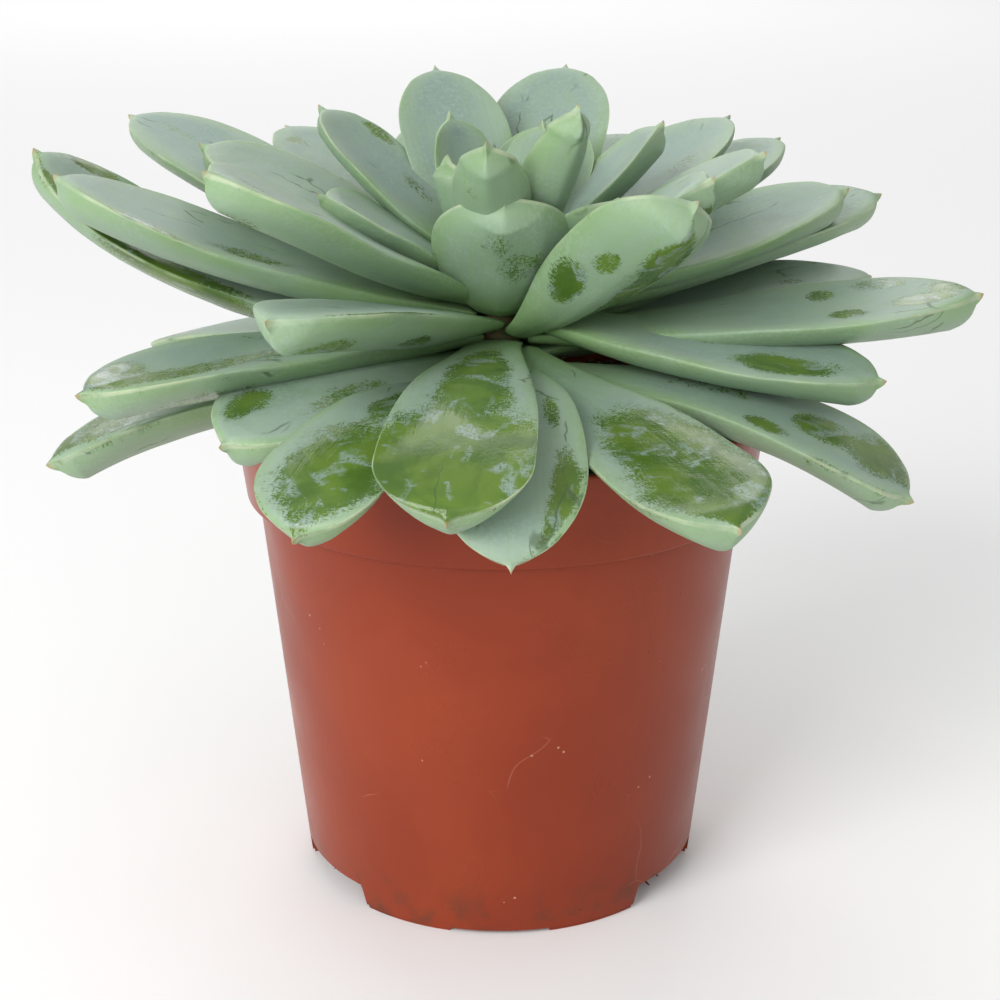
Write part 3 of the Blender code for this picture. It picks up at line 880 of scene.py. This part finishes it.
@dataclass
class Rosette:
    """All the leaves, each a closed fleshy blade that takes the place of its CAD solid."""

    skin: bpy.types.Material
    room: list[list[float]]
    rule: GrowthRule = field(default_factory=GrowthRule)
    rings: int = 84
    sides: int = 56
    rolled_by: float = 0.5
    base_width_share: float = 0.38
    slender_base: float = 2.8
    base_thickness_share: float = 0.5
    tip_bluntness: float = 2.3
    tip_rounding: float = 0.62
    tip_point: float = 1.5 * MM
    point_half_width: float = 3.2 * MM
    top_share: float = 0.24
    channel: float = 0.13
    young_channel: float = 0.16
    margin_wave: float = 0.22 * MM
    even_rings: float = 0.35
    full_thickness_at: float = 0.5
    thin_below: float = 0.6
    midrib: float = 0.12
    midrib_width: float = 0.25
    lump: float = 0.16 * MM
    lump_cell: float = 9 * MM
    pattern_step: float = 90.0
    side_step: float = 40.0
    wear: float = 0.42

    def half_width(self, distance: Array, sizes: dict[str, float]) -> Array:
        """Half the width along the midline.

        The blade swells from its narrow base as a power of a quarter sine to its widest place, then closes
        as a blunt superellipse. A small concave point is added to it as the cube root of the sum of the
        cubes.

        Args:
            distance: Metres along the midline.
            sizes: The leaf's measures.

        Returns:
            Half widths in metres.
        """
        length = sizes["length"]
        share = np.clip(distance / length, 0, 1)
        widest = sizes["widest"]
        swell = np.sin(np.clip(share / widest, 0, 1) * np.pi / 2)
        late = 1 + self.slender_base * (widest - self.rule.widest[0])
        swell = self.base_width_share + (1 - self.base_width_share) * swell**late
        closing = np.clip((share - widest) / (1 - widest), 0, 1)
        blade = sizes["width"] / 2 * swell * (1 - closing**self.tip_bluntness) ** self.tip_rounding
        point_from = length - 2 * self.tip_point
        left = np.clip((length + self.tip_point - distance) / (3 * self.tip_point), 0, 1)
        near_tip = smooth_step(point_from - 3 * MM, point_from + 1 * MM, distance)
        point = self.point_half_width * left**1.3 * near_tip
        return np.cbrt(blade**3 + point**3)

    def midline(self, distance: Array, sizes: dict[str, float]) -> tuple[Array, Array, Array]:
        """The curling midline: its slope turns from the rise by the curl, as the square of the way out.

        The blade rolls about it, by nothing at the base and by the whole roll from rolled_by outwards.

        Args:
            distance: Metres along the midline.
            sizes: The leaf's measures.

        Returns:
            Points, upward normals and sideways directions.
        """
        fine = np.linspace(0, 1, 241)
        slope = np.radians(sizes["rise"] + sizes["curl"] * fine**2)
        step = sizes["length"] / (len(fine) - 1)
        out = sizes["base_radius"] + np.concatenate([[0], np.cumsum(np.cos(slope[:-1]))]) * step
        up = sizes["base_height"] + np.concatenate([[0], np.cumsum(np.sin(slope[:-1]))]) * step
        turn = math.radians(sizes["direction"])
        outward = np.array([math.sin(turn), -math.cos(turn), 0.0])
        side = np.array([math.cos(turn), math.sin(turn), 0.0])
        top = np.array([0.0, 0.0, 1.0])
        share = distance / sizes["length"]
        past = np.clip(share - 1, 0, None)[:, None] * sizes["length"]
        at_slope = np.interp(share, fine, slope)
        points = np.interp(share, fine, out)[:, None] * outward + np.interp(share, fine, up)[:, None] * top
        points = points + past * (np.cos(slope[-1]) * outward + np.sin(slope[-1]) * top)
        square = np.cos(at_slope)[:, None] * top - np.sin(at_slope)[:, None] * outward
        roll = np.radians(sizes["roll"]) * smooth_step(0.0, self.rolled_by, share)[:, None]
        normal = np.cos(roll) * square - np.sin(roll) * side
        sideways = np.cos(roll) * side + np.sin(roll) * square
        return points, normal, sideways

    def blade(self, rank: int) -> tuple[Array, dict[str, Array]]:
        """One leaf's surface, as rings round its midline.

        Round each ring the upper side is a flat arch and the lower side a deep keel, both drawn to thin
        margins, and a parabola across lifts the margins into a channel. The margins wave a little.

        Args:
            rank: The leaf's age rank.

        Returns:
            Points, and the values that the skin reads.
        """
        sizes = self.rule.sizes(rank)
        draw = np.random.default_rng(1000 + rank)
        whole = sizes["length"] + self.tip_point
        even = np.linspace(0, 1, self.rings + 1)
        crowded = np.sin(np.linspace(0, np.pi / 2, self.rings + 1))
        distance = (self.even_rings * even + (1 - self.even_rings) * crowded)[:-1] * whole
        half = self.half_width(distance, sizes)
        middle, normal, side = self.midline(distance, sizes)
        blade_share = np.clip(distance / sizes["length"], 0, 1)
        body = self.base_thickness_share + (1 - self.base_thickness_share) * np.sin(
            np.clip(blade_share / self.full_thickness_at, 0, 1) * np.pi / 2
        )
        thin = np.sqrt(np.clip(half / (sizes["width"] / 2) / self.thin_below, 0, 1))
        thick = sizes["thickness"] * body * thin
        angle = np.linspace(0, math.tau, self.sides, endpoint=False)
        across, height = np.cos(angle), np.sin(angle)
        sharp = 1 + 0.5 * smooth_step(0.2, 0.85, blade_share)[:, None]
        arch = self.top_share * np.abs(height) ** sharp
        ridge = 1 + self.midrib * np.exp(-((across / self.midrib_width) ** 2))
        keel = -(1 - self.top_share) * np.abs(height) ** sharp * ridge
        profile = np.where(height >= 0, arch, keel)
        cupped = self.channel + self.young_channel * (1 - rank / (self.rule.count - 1)) ** 2
        cup = cupped * np.sin(blade_share * np.pi / 2)[:, None] * half[:, None] * across**2
        phase = draw.uniform(0, math.tau, 2)
        wave = np.sin(blade_share * draw.uniform(9, 14) + phase[0])[:, None] * (across > 0)
        wave = wave + np.sin(blade_share * draw.uniform(9, 14) + phase[1])[:, None] * (across < 0)
        wave = wave * across**4 * self.margin_wave * np.sin(blade_share * np.pi)[:, None]
        lift = thick[:, None] * profile + cup + wave
        points = (
            middle[:, None, :]
            + (half[:, None] * across)[..., None] * side[:, None, :]
            + lift[..., None] * normal[:, None, :]
        )
        lumps = self.lump * layered_noise(points, self.lump_cell, rank) * thin[:, None]
        points = points + lumps[..., None] * normal[:, None, :]
        tip_middle, _, _ = self.midline(np.array([whole]), sizes)
        points = np.concatenate([points.reshape(-1, 3), [points[0].mean(axis=0)], tip_middle])
        ring = np.ones((len(distance), 1))
        upper = ring * smooth_step(-0.15, 0.15, height)
        edge = half[:, None] * (1 - np.abs(across)) / MM
        out = distance[:, None] * np.ones(self.sides)
        aside = rank * self.pattern_step
        place = np.stack([half[:, None] * across / MM, out / MM, upper * self.side_step + aside], -1)
        values = {
            "along": self.closed(out / whole, 0, 1),
            "edge": self.closed(edge, 3, 0),
            "upper": self.closed(upper, 0.5, 0.5),
            "rub": self.closed(self.rub_field(rank, blade_share, across, height, draw), 0, 0.4),
            "tone": np.full(len(points), draw.uniform(0, 1)),
            "blade": np.concatenate([place.reshape(-1, 3), [[0, 0, aside], [0, whole / MM, aside]]]),
        }
        return points, values

    @staticmethod
    def closed(grid: Array, at_base: float, at_tip: float) -> Array:
        """A grid's values with those of the two end vertices after them."""
        return np.concatenate([grid.ravel(), [at_base, at_tip]])

    def rub_field(
        self, rank: int, along: Array, across: Array, height: Array, draw: np.random.Generator
    ) -> Array:
        """How far the bloom is rubbed away, from 0 to about 1.

        Each patch is a soft ellipse on one side of the blade. Old leaves are also worn along their margins
        and at the tip.

        Args:
            rank: The leaf's age rank.
            along: Each ring's share of the way out.
            across: Each side vertex's place across, from -1 to 1.
            height: Each side vertex's place from the lower side, -1, to the upper side, 1.
            draw: The leaf's own random numbers.

        Returns:
            The field on the grid.
        """
        age = rank / (self.rule.count - 1)
        patches = list(RUBS.get(rank, ()))
        for _ in range(1 + int(age * 3)):
            patches.append(
                Rub(
                    draw.uniform(0.45, 0.95),
                    draw.uniform(-0.8, 0.8),
                    draw.uniform(0.03, 0.09),
                    draw.uniform(0.12, 0.3),
                    bool(draw.random() < 0.7),
                    draw.uniform(0.25, 0.45 + 0.45 * age),
                )
            )
        field_values = np.zeros((len(along), len(across)))
        for patch in patches:
            reach = ((along[:, None] - patch.along) / patch.half_length) ** 2
            reach = reach + ((across[None, :] - patch.across) / patch.half_width) ** 2
            facing = height > -0.05 if patch.upper else height < 0.05
            soft = patch.strength * (1 - smooth_step(0.45, 1.35, np.sqrt(reach)))
            field_values = np.maximum(field_values, soft * facing)
        margins = smooth_step(0.80, 1.0, np.abs(across)) * smooth_step(0.45, 0.9, along)[:, None]
        return np.maximum(field_values, self.wear * age * margins)

    def build(self) -> None:
        """Makes every leaf and lets it stand for its CAD solid."""
        faces = capped(self.rings, self.sides)
        for rank in range(self.rule.count):
            points, values = self.blade(rank)
            points = np.clip(points, self.room[0], self.room[1])
            leaf = make_piece(f"blade_{rank:02d}", points, faces, Slot.LEAF, self.skin)
            add_vectors(leaf, "blade", values.pop("blade"))
            for name, numbers in values.items():
                add_values(leaf, name, numbers)
            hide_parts(f"leaf_{rank:02d}")


# --------------------------------------------------------------------------------------------------------
# Pot
# --------------------------------------------------------------------------------------------------------


@dataclass
class NurseryPot:
    """The moulded pot: thin tapering wall, deep collar, raised plate, three feet with notches between."""

    plastic: bpy.types.Material
    height: float
    rim_radius: float
    collar: float = 15.0 * MM
    collar_foot_radius: float = 43.2 * MM
    wall_top_radius: float = 41.2 * MM
    foot_radius: float = 34.4 * MM
    wall: float = 1.3 * MM
    plate_underside: float = 4.8 * MM
    plate: float = 1.6 * MM
    foot_wall: float = 2.2 * MM
    notch_height: float = 4.3 * MM
    notch_half_angle: float = 18.0
    corner_angle: float = 2.4
    feet: int = 3
    relief_height: float = 0.7 * MM
    relief_half_angle: float = 14.0
    slot_radii: tuple[float, float] = (22.0 * MM, 28.0 * MM)
    slot_half_angle: float = 12.0
    columns: int = 540
    relief_corner: float = 0.4
    crowding: float = 7.0
    notch_crowd: float = 1.5
    relief_crowd: float = 0.6
    crease: float = 50.0

    def profile(self) -> Array:
        """The wall's outline from the plate's middle, up the inside, over the rim and down to the plate.

        Straight runs are divided so that shading stays even, and the rim and the collar's step are small
        arcs.

        Returns:
            Pairs of radius and height.
        """
        step = self.height - self.collar
        plate_top = self.plate_underside + self.plate
        inside = self.foot_radius + (self.wall_top_radius - self.foot_radius) * plate_top / step - self.wall
        foot_inside = self.foot_radius - self.foot_wall
        bend = np.linspace(0, np.pi, 9)
        half = self.wall / 2
        rim_middle = np.array([self.rim_radius - half, self.height - half])
        rim = rim_middle + half * np.stack([-np.cos(bend), np.sin(bend)], -1)
        drop = np.linspace(0, np.pi / 2, 5)
        curve = 0.35 * MM
        shoulder = np.stack(
            [
                self.collar_foot_radius - curve + curve * np.cos(drop),
                step + curve - curve * np.sin(drop),
            ],
            -1,
        )
        runs = [
            self.run((0.0, plate_top), (inside - 1 * MM, plate_top), 14),
            self.run((inside, plate_top + 1 * MM), (self.wall_top_radius - self.wall, step), 12),
            self.run((self.collar_foot_radius - self.wall, step + self.wall), tuple(rim[0]), 5),
            rim,
            self.run(tuple(rim[-1]), tuple(shoulder[0]), 6)[1:-1],
            shoulder,
            self.run((self.wall_top_radius + 0.2 * MM, step), (self.wall_top_radius, step - 0.3 * MM), 2),
            self.run((self.wall_top_radius, step - 0.5 * MM), (self.foot_radius + 0.45 * MM, 4.6 * MM), 22),
            self.run((self.foot_radius + 0.42 * MM, 4.3 * MM), (self.foot_radius, 0.75 * MM), 8),
            self.run((self.foot_radius - 0.35 * MM, 0.68 * MM), (self.foot_radius - 0.4 * MM, 0.0), 3),
            self.run((foot_inside, 0.0), (foot_inside, 4.6 * MM), 8),
            self.run((foot_inside - 0.3 * MM, self.plate_underside), (0.0, self.plate_underside), 14),
        ]
        return np.concatenate(runs)

    @staticmethod
    def run(start: tuple, end: tuple, count: int) -> Array:
        """Evenly spaced points on a straight run, both ends included."""
        return np.linspace(np.array(start), np.array(end), count)

    def lift(self, direction: Array) -> Array:
        """How high the foot's lower edge stands at each direction: low feet, notches with round corners.

        Args:
            direction: Degrees from the front.

        Returns:
            Metres above the surface.
        """
        pitch = 360 / self.feet
        from_foot = np.abs((direction + pitch / 2) % pitch - pitch / 2)
        side = pitch / 2 - self.notch_half_angle
        half = self.corner_angle / 2
        notch = self.notch_height * smooth_step(side - half, side + half, from_foot)
        low, high = self.relief_half_angle - self.relief_corner, self.relief_half_angle + self.relief_corner
        return np.maximum(notch, self.relief_height * (1 - smooth_step(low, high, from_foot)))

    def build(self) -> None:
        """Turns the profile round the axis and raises the foot's points to its lower edge."""
        profile = self.profile()
        direction = self.directions()
        turn = np.radians(direction)[None, :]
        radius, height = profile[1:-1, 0][:, None], profile[1:-1, 1][:, None]
        in_foot = height < self.plate_underside - 0.1 * MM
        raised = np.where(in_foot, np.maximum(height, self.lift(direction)[None, :]), height)
        points = around(radius, turn, raised)
        rows = points.shape[0]
        ends = np.array([[0, 0, profile[0, 1]], [0, 0, profile[-1, 1]]])
        everything = np.concatenate([points.reshape(-1, 3), ends])
        faces = [face[::-1] for face in capped(rows, self.columns)]
        pot = make_piece("nursery_pot", everything, faces, Slot.POT, self.plastic)
        self.cut_slots(pot)
        height = np.empty(len(pot.data.vertices) * 3, np.float32)
        pot.data.vertices.foreach_get("co", height)
        add_values(pot, "height", height[2::3])
        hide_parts("pot")

    def cut_slots(self, pot: bpy.types.Object) -> None:
        """Cuts the curved drain slots through the plate, one in line with each notch.

        Args:
            pot: The pot, whose mesh is replaced by the cut one.
        """
        low, high = self.plate_underside - self.plate, self.plate_underside + 2 * self.plate
        inner, outer = self.slot_radii
        corners = np.array([(outer, high), (outer, low), (inner, low), (inner, high)])
        parts = []
        for notch in range(self.feet):
            middle = 360 / self.feet * (notch + 0.5)
            sweep = np.linspace(-self.slot_half_angle, self.slot_half_angle, 25)
            turn = np.radians(middle + sweep)[:, None]
            block = around(corners[:, 0], turn, corners[:, 1])
            ends = [block[0].mean(axis=0), block[-1].mean(axis=0)]
            parts.append(np.concatenate([block.reshape(-1, 3), ends]))
        points, faces = joined(parts, capped(len(block), len(corners)))
        mesh = bpy.data.meshes.new("slot_cutter")
        mesh.from_pydata(points, [], faces)
        cutter = bpy.data.objects.new("slot_cutter", mesh)
        bpy.context.scene.collection.objects.link(cutter)
        cut = pot.modifiers.new("slots", "BOOLEAN")
        cut.operation, cut.solver, cut.object = "DIFFERENCE", "EXACT", cutter
        graph = bpy.context.evaluated_depsgraph_get()
        whole = pot.data
        pot.data = bpy.data.meshes.new_from_object(pot.evaluated_get(graph))
        pot.modifiers.clear()
        bpy.data.objects.remove(cutter)
        bpy.data.meshes.remove(mesh)
        bpy.data.meshes.remove(whole)
        pot.data.name = pot.name
        pot.data.set_sharp_from_angle(angle=math.radians(self.crease))
        LOG.info("%s: cut to %d vertices", pot.name, len(pot.data.vertices))

    def directions(self) -> Array:
        """Column directions, crowded at the notch corners and the reliefs to keep their sides steep."""
        fine = np.linspace(0, 360, 7201)
        pitch = 360 / self.feet
        from_foot = np.abs((fine + pitch / 2) % pitch - pitch / 2)
        side = pitch / 2 - self.notch_half_angle
        weight = 1 + self.crowding * np.exp(-(((from_foot - side) / self.notch_crowd) ** 2))
        at_relief = np.exp(-(((from_foot - self.relief_half_angle) / self.relief_crowd) ** 2))
        weight = weight + self.crowding * at_relief
        total = np.concatenate([[0], np.cumsum((weight[1:] + weight[:-1]) / 2)])
        return np.interp(np.arange(self.columns) / self.columns * total[-1], total, fine)


# --------------------------------------------------------------------------------------------------------
# Earth, stem and roots
# --------------------------------------------------------------------------------------------------------


@dataclass
class Earth:
    """The peat: a clodded surface over a plug that fills the pot, with loose crumbs and fibres on it."""

    peat: bpy.types.Material
    loose: bpy.types.Material
    low: float
    top: float
    edge_radius: float = 42.4 * MM
    edge_height: float = 78.0 * MM
    mound_radius: float = 18.0 * MM
    clod: float = 1.1 * MM
    crumbs: int = 520
    banked: int = 300
    fibres: int = 420
    bank_radii: tuple[float, float] = (38.6, 41.3)
    bank_rise: float = 2.6

    def surface_height(self, x: Array, y: Array) -> Array:
        """The surface: a mound that falls to the pot's wall, with clods of layered noise on it."""
        radius = np.hypot(x, y)
        fall = smooth_step(self.mound_radius, self.edge_radius, radius)
        base = self.top - 0.6 * MM + (self.edge_height - self.top) * fall
        places = np.stack([x, y, np.zeros_like(x)], -1)
        rough = self.clod * layered_noise(places, 6 * MM, 7, 4)
        keep = 1 - smooth_step(self.edge_radius - 1.5 * MM, self.edge_radius, radius)
        return base + rough * (0.25 + 0.75 * keep)

    def build(self) -> None:
        """Makes the plug, the crumbs and the fibres."""
        columns = 220
        turn = np.linspace(0, math.tau, columns, endpoint=False)[None, :]
        outward = np.linspace(0.4 * MM, self.edge_radius, 90)[:, None]
        x, y = outward * np.sin(turn), -outward * np.cos(turn)
        top = np.stack([x, y, self.surface_height(x, y)], -1)
        low = self.low
        walls = [(39.2 * MM, 67.5 * MM), (33.6 * MM, low + 0.1 * MM), (33.0 * MM, low), (8 * MM, low)]
        below = [around(radius, turn[0], height) for radius, height in walls]
        rows = np.concatenate([top, np.array(below)])
        ends = np.array([[0, 0, float(top[0, :, 2].mean())], [0, 0, self.low]])
        points = np.concatenate([rows.reshape(-1, 3), ends])
        plug = make_piece("peat_plug", points, capped(len(rows), columns), Slot.SOIL, self.peat)
        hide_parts("soil")
        draw = np.random.default_rng(42)
        self.scatter_crumbs(draw)
        self.scatter_fibres(draw)

    def place(self, draw: np.random.Generator) -> tuple[float, float, float]:
        """A random place on the surface, evenly spread over its area."""
        radius = math.sqrt(draw.uniform(0.03, 0.93)) * self.edge_radius
        turn = draw.uniform(0, math.tau)
        x, y = radius * math.sin(turn), -radius * math.cos(turn)
        return x, y, float(self.surface_height(np.array([x]), np.array([y]))[0])

    def scatter_crumbs(self, draw: np.random.Generator) -> None:
        """Small lumps of peat: balls of a few dozen faces with each vertex pushed in or out."""
        rows, columns = 4, 7
        polar = np.linspace(0, np.pi, rows + 2)[1:-1][:, None]
        turn = np.linspace(0, math.tau, columns, endpoint=False)[None, :]
        x, y = np.sin(polar) * np.cos(turn), np.sin(polar) * np.sin(turn)
        ball = np.stack(np.broadcast_arrays(x, y, -np.cos(polar)), -1).reshape(-1, 3)
        ball = np.concatenate([ball, [[0, 0, -1], [0, 0, 1]]])
        parts = []
        for _ in range(self.crumbs):
            x, y, z = self.place(draw)
            lump = self.lump(draw, ball, (0.35, 1.15), (0.5, 0.8))
            parts.append(lump + np.array([x, y, z + 0.2 * MM]))
        for _ in range(self.banked):
            turn, radius = draw.uniform(0, math.tau), draw.uniform(*self.bank_radii) * MM
            lump = self.lump(draw, ball, (0.5, 1.3), (0.6, 0.9))
            height = self.edge_height + draw.uniform(0.0, self.bank_rise) * MM
            parts.append(lump + np.array([radius * math.sin(turn), -radius * math.cos(turn), height]))
        make_piece("peat_crumbs", *joined(parts, capped(rows, columns)), Slot.SOIL, self.loose)

    @staticmethod
    def lump(
        draw: np.random.Generator, ball: Array, sizes: tuple[float, float], flatness: tuple[float, float]
    ) -> Array:
        """One lump about the origin.

        Args:
            draw: The peat's own random numbers.
            ball: A ball's points, one unit in radius.
            sizes: The least and the most radius in millimetres.
            flatness: The least and the most height for each unit of length.

        Returns:
            The lump's points in metres.
        """
        size = draw.uniform(*sizes) * MM * np.array([1, draw.uniform(0.6, 1), draw.uniform(*flatness)])
        return ball * draw.uniform(0.75, 1.15, (len(ball), 1)) * size

    def scatter_fibres(self, draw: np.random.Generator) -> None:
        """Short curved fibres that lie on the surface, thin at both ends."""
        parts, sides = [], 4
        share = np.linspace(0, 1, 6)
        for _ in range(self.fibres):
            x, y, z = self.place(draw)
            turn, bend = draw.uniform(0, math.tau), draw.uniform(-1.2, 1.2)
            length = draw.uniform(2.0, 6.5) * MM
            way = turn + bend * share
            path = np.stack([np.cos(way), np.sin(way), np.zeros(len(share))], -1) * length / 5
            path = np.cumsum(path, axis=0) + np.array([x, y, z])
            path[:, 2] += 0.25 * MM + draw.uniform(0.1, 0.9) * MM * np.sin(share * np.pi)
            inside = np.hypot(path[:, 0], path[:, 1]).max() < self.edge_radius - 0.5 * MM
            if inside:
                radii = draw.uniform(0.06, 0.16) * MM * (0.3 + 0.7 * np.sin(share * np.pi))
                parts.append(tube(path, radii, sides))
        make_piece("peat_fibres", *joined(parts, capped(len(share), sides)), Slot.SOIL, self.loose)


@dataclass
class Stem:
    """The short stem between the leaf bases, ringed by leaf scars."""

    bark: bpy.types.Material
    low: float
    high: float
    foot_radius: float = 4.5 * MM
    tip_radius: float = 1.1 * MM
    ripple: float = 0.05
    ripples: float = 60.0

    def build(self) -> None:
        """Makes a tapering tube whose radius ripples with the scars."""
        rings, sides = 60, 36
        share = np.linspace(0, 1, rings)
        height = self.low + (self.high - self.low) * share
        radius = self.foot_radius + (self.tip_radius - self.foot_radius) * smooth_step(0.15, 1.0, share)
        radius = radius * (1 + self.ripple * np.sin(share * self.ripples) - self.ripple)
        path = np.stack([np.zeros(rings), np.zeros(rings), height], -1)
        faces = capped(rings, sides)
        stem = make_piece("stem_core", tube(path, radius, sides), faces, Slot.STEM, self.bark)
        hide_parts("stem")


@dataclass
class DrainRoots:
    """Fine roots and soil crumbs that hang at the drain notches, under the plate."""

    loose: bpy.types.Material
    plate_underside: float = 4.8 * MM
    radius: float = 31.0 * MM
    front_half_angle: float = 42.0
    front_inset: float = 4 * MM
    directions: tuple[float, ...] = (-70, -65, -61, -55, -49, -2, 6, 50, 57, 62, 69, 176, 184)

    def build(self) -> None:
        """Makes one bent, tapering root for each direction."""
        draw = np.random.default_rng(9)
        share = np.linspace(0, 1, 7)
        parts, sides = [], 6
        for direction in self.directions:
            turn = math.radians(direction)
            out = self.radius - (self.front_inset if abs(direction) < self.front_half_angle else 0)
            drop = self.plate_underside - 0.25 * MM - share * draw.uniform(2.2, 4.0) * MM
            sway = draw.uniform(-1.5, 1.5) * MM * share**2
            push = out + draw.uniform(0.0, 1.6) * MM * share
            path = np.stack(
                [
                    push * math.sin(turn) + sway * math.cos(turn),
                    -push * math.cos(turn) + sway * math.sin(turn),
                    drop,
                ],
                -1,
            )
            parts.append(tube(path, (0.46 - 0.32 * share) * MM, sides))
        make_piece("drain_roots", *joined(parts, capped(len(share), sides)), Slot.SOIL, self.loose)


# --------------------------------------------------------------------------------------------------------
# Studio
# --------------------------------------------------------------------------------------------------------


@dataclass(frozen=True)
class SoftLight:
    """One square soft light: its place and side in metres, and its power in watts."""

    name: str
    place: tuple[float, float, float]
    size: float
    power: float


LIGHTS = (
    SoftLight("key", (-0.65, -0.85, 0.60), 0.70, 12.0),
    SoftLight("fill", (0.30, -1.00, 0.70), 0.80, 1.5),
    SoftLight("back", (-0.30, 2.20, 1.70), 2.20, 26.0),
)


@dataclass
class Studio:
    """A pale floor, soft light from the front left and a camera a little above the plant."""

    camera_back: float = 0.310
    camera_height: float = 0.1704
    camera_dip: float = 18.8
    lens: float = 68.2
    sky: float = 0.58
    aim_height: float = 0.08
    floor_half: float = 3.0
    floor_colour: Colour = (0.90, 0.90, 0.90)
    floor_roughness: float = 0.9

    def build(self) -> None:
        """Makes the floor, the lights, the sky and the camera."""
        self.floor()
        for soft in LIGHTS:
            self.light(soft)
        world = bpy.data.worlds.new("studio_sky")
        world.use_nodes = True
        background = world.node_tree.nodes["Background"]
        background.inputs["Color"].default_value = (1.0, 1.0, 1.0, 1.0)
        background.inputs["Strength"].default_value = self.sky
        bpy.context.scene.world = world
        bpy.context.scene.view_settings.view_transform = "Standard"
        self.camera()

    def floor(self) -> None:
        """Makes a wide floor in a plain pale finish."""
        half = self.floor_half
        mesh = bpy.data.meshes.new("floor")
        corners = [(-half, -half, 0), (half, -half, 0), (half, half, 0), (-half, half, 0)]
        mesh.from_pydata(corners, [], [(0, 1, 2, 3)])
        floor = bpy.data.objects.new("floor", mesh)
        bpy.context.scene.collection.objects.link(floor)
        material = bpy.data.materials.new("pale_floor")
        material.use_nodes = True
        shader = material.node_tree.nodes["Principled BSDF"]
        shader.inputs["Base Color"].default_value = (*self.floor_colour, 1.0)
        shader.inputs["Roughness"].default_value = self.floor_roughness
        mesh.materials.append(material)
        floor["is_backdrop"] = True

    def light(self, soft: SoftLight) -> None:
        """Makes one light and turns it to face the plant."""
        lamp = bpy.data.lights.new(soft.name, "AREA")
        lamp.size = soft.size
        lamp.energy = soft.power
        obj = bpy.data.objects.new(soft.name, lamp)
        bpy.context.scene.collection.objects.link(obj)
        obj.location = soft.place
        target = np.array([0.0, 0.0, self.aim_height]) - np.array(soft.place)
        obj.rotation_euler = (
            math.atan2(math.hypot(target[0], target[1]), -target[2]),
            0.0,
            math.atan2(target[1], target[0]) - math.pi / 2,
        )

    def camera(self) -> None:
        """Makes the camera, which looks along +Y and dips towards the pot."""
        data = bpy.data.cameras.new("camera")
        data.lens = self.lens
        data.sensor_width = 36.0
        data.clip_start = 0.01
        camera = bpy.data.objects.new("camera", data)
        bpy.context.scene.collection.objects.link(camera)
        camera.location = (0.0, -self.camera_back, self.camera_height)
        camera.rotation_euler = (math.radians(90 - self.camera_dip), 0.0, 0.0)
        bpy.context.scene.camera = camera


def main() -> None:
    """Builds everything in order."""
    logging.basicConfig(level=logging.INFO, format="%(name)s: %(message)s")
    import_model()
    frame_box = [list(corner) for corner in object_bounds()]
    Studio().build()
    peat = PeatEarth()
    loose = peat.make("loose_peat", 0.10)
    pot_low, pot_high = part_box("pot")
    NurseryPot(PotPlastic().make(), pot_high.z, pot_high.x).build()
    soil_low, soil_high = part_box("soil")
    Earth(peat.make("peat"), loose, soil_low.z, soil_high.z).build()
    stem_low, stem_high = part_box("stem")
    Stem(StemBark().make(), stem_low.z, stem_high.z).build()
    DrainRoots(loose).build()
    Rosette(LeafSkin().make(), frame_box).build()


if __name__ == "__main__":
    main()
